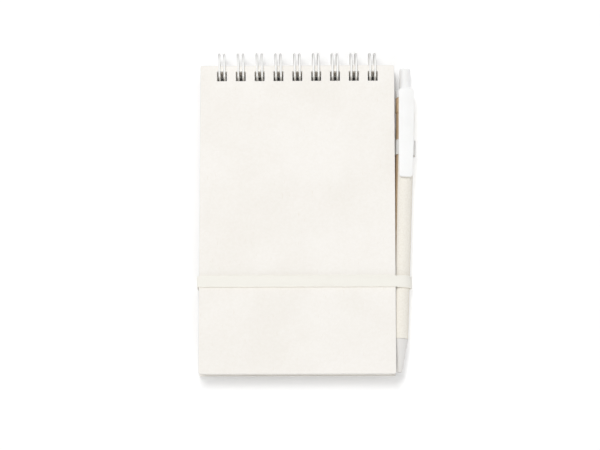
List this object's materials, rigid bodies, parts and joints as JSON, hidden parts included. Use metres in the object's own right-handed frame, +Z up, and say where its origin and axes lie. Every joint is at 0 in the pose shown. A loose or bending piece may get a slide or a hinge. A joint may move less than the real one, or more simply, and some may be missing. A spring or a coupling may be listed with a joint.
{
  "type": "notebook",
  "caption": "Top-bound pocket notebook with covers and sheets that turn over a wire binding, an elastic band, and a click pen that slides out of a loop at its side.",
  "frame": {"origin": "middle of the bounding box's base", "axes": "+X across the covers towards the pen, +Y from the foot towards the wire binding, +Z up out of the front cover"},
  "size_m": [0.097, 0.1466, 0.0127],
  "materials": {
    "carton": "matte",
    "paper": "matte",
    "coated_wire": "satin",
    "elastic": "matte",
    "ribbon": "matte",
    "white_plastic": "satin",
    "nose_plastic": "satin",
    "refill_plastic": "satin",
    "ink": "gloss",
    "brass": "satin",
    "steel": "satin"
  },
  "bodies": {
    "back": {"back_cover": "carton", "wire_binding": "coated_wire", "pen_loop": "ribbon"},
    "front_cover": {"front_cover": "carton"},
    "sheets_1": {"sheets_1": "paper"},
    "sheets_2": {"sheets_2": "paper"},
    "sheets_3": {"sheets_3": "paper"},
    "sheets_4": {"sheets_4": "paper"},
    "sheets_5": {"sheets_5": "paper"},
    "sheets_6": {"sheets_6": "paper"},
    "sheets_7": {"sheets_7": "paper"},
    "sheets_8": {"sheets_8": "paper"},
    "elastic_band": {"elastic_band": "elastic"},
    "pen": {"pen_barrel": "carton", "pen_nose_cone": "nose_plastic", "pen_upper_section": "carton", "pen_clip": "white_plastic", "pen_spring": "steel"},
    "push_button": {"pen_button": "white_plastic"},
    "refill": {"pen_cam_rotor": "white_plastic", "pen_refill_tube": "refill_plastic", "pen_ink": "ink", "pen_refill_point": "brass", "pen_ball": "steel"}
  },
  "joints": [
    {"name": "front_cover_turn", "type": "hinge", "parent": "back", "child": "front_cover", "pos_m": [-0.00403, 0.06698, 0.00635], "axis": [-1, 0, 0], "range_deg": [0, 180]},
    {"name": "sheets_1_turn", "type": "hinge", "parent": "back", "child": "sheets_1", "pos_m": [-0.00403, 0.06698, 0.00635], "axis": [-1, 0, 0], "range_deg": [0, 180]},
    {"name": "sheets_2_turn", "type": "hinge", "parent": "back", "child": "sheets_2", "pos_m": [-0.00403, 0.06698, 0.00635], "axis": [-1, 0, 0], "range_deg": [0, 180]},
    {"name": "sheets_3_turn", "type": "hinge", "parent": "back", "child": "sheets_3", "pos_m": [-0.00403, 0.06698, 0.00635], "axis": [-1, 0, 0], "range_deg": [0, 180]},
    {"name": "sheets_4_turn", "type": "hinge", "parent": "back", "child": "sheets_4", "pos_m": [-0.00403, 0.06698, 0.00635], "axis": [-1, 0, 0], "range_deg": [0, 180]},
    {"name": "sheets_5_turn", "type": "hinge", "parent": "back", "child": "sheets_5", "pos_m": [-0.00403, 0.06698, 0.00635], "axis": [-1, 0, 0], "range_deg": [0, 180]},
    {"name": "sheets_6_turn", "type": "hinge", "parent": "back", "child": "sheets_6", "pos_m": [-0.00403, 0.06698, 0.00635], "axis": [-1, 0, 0], "range_deg": [0, 180]},
    {"name": "sheets_7_turn", "type": "hinge", "parent": "back", "child": "sheets_7", "pos_m": [-0.00403, 0.06698, 0.00635], "axis": [-1, 0, 0], "range_deg": [0, 180]},
    {"name": "sheets_8_turn", "type": "hinge", "parent": "back", "child": "sheets_8", "pos_m": [-0.00403, 0.06698, 0.00635], "axis": [-1, 0, 0], "range_deg": [0, 180]},
    {"name": "band_pull_off", "type": "slide", "parent": "back", "child": "elastic_band", "axis": [0, -1, 0], "range_m": [0, 0.045], "deforming": ["elastic_band"]},
    {"name": "pen_pull_out", "type": "slide", "parent": "back", "child": "pen", "axis": [0.03, 0.9995, 0], "range_m": [0, 0.11]},
    {"name": "push_button_press", "type": "slide", "parent": "pen", "child": "push_button", "axis": [-0.03, -0.9995, 0], "range_m": [0, 0.005], "stiffness_N_per_m": 300, "springref_m": -0.003, "deforming": ["pen_spring"]},
    {"name": "refill_feed", "type": "slide", "parent": "pen", "child": "refill", "axis": [-0.03, -0.9995, 0], "range_m": [0, 0.005]}
  ],
  "couplings": [
    {"joint": "sheets_1_turn", "follows": "front_cover_turn", "ratio": 0.8889},
    {"joint": "sheets_2_turn", "follows": "front_cover_turn", "ratio": 0.7778},
    {"joint": "sheets_3_turn", "follows": "front_cover_turn", "ratio": 0.6667},
    {"joint": "sheets_4_turn", "follows": "front_cover_turn", "ratio": 0.5556},
    {"joint": "sheets_5_turn", "follows": "front_cover_turn", "ratio": 0.4444},
    {"joint": "sheets_6_turn", "follows": "front_cover_turn", "ratio": 0.3333},
    {"joint": "sheets_7_turn", "follows": "front_cover_turn", "ratio": 0.2222},
    {"joint": "sheets_8_turn", "follows": "front_cover_turn", "ratio": 0.1111},
    {"joint": "refill_feed", "follows": "push_button_press", "ratio": 1}
  ]
}
